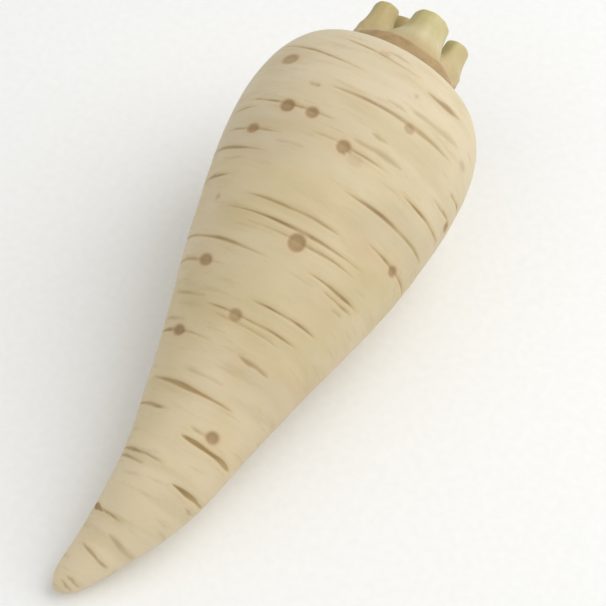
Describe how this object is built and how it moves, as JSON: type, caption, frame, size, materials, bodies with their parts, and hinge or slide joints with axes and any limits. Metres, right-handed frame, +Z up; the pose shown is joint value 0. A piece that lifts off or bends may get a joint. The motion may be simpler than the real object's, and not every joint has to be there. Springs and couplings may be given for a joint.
{
  "type": "parsley root",
  "caption": "Pale tapered parsley root lying on its side, with a curled tip, round shoulders, a brown crown collar and short cut leaf-stalk stubs.",
  "frame": {"origin": "middle of the base of the bounding box, on the surface that the root lies on", "axes": "+Y from the tip towards the crown, +Z up; the tip curls towards -X"},
  "size_m": [0.0562, 0.152, 0.057],
  "materials": {
    "root_skin": "satin cream skin with thin tan rings and round scars, brown at the crown",
    "leaf_stalk": "satin pale yellow-green, tan at the foot"
  },
  "bodies": {
    "root": {"root": "root_skin", "stalk_left": "leaf_stalk", "stalk_middle": "leaf_stalk", "stalk_right": "leaf_stalk", "stalk_rear": "leaf_stalk"}
  },
  "joints": []
}
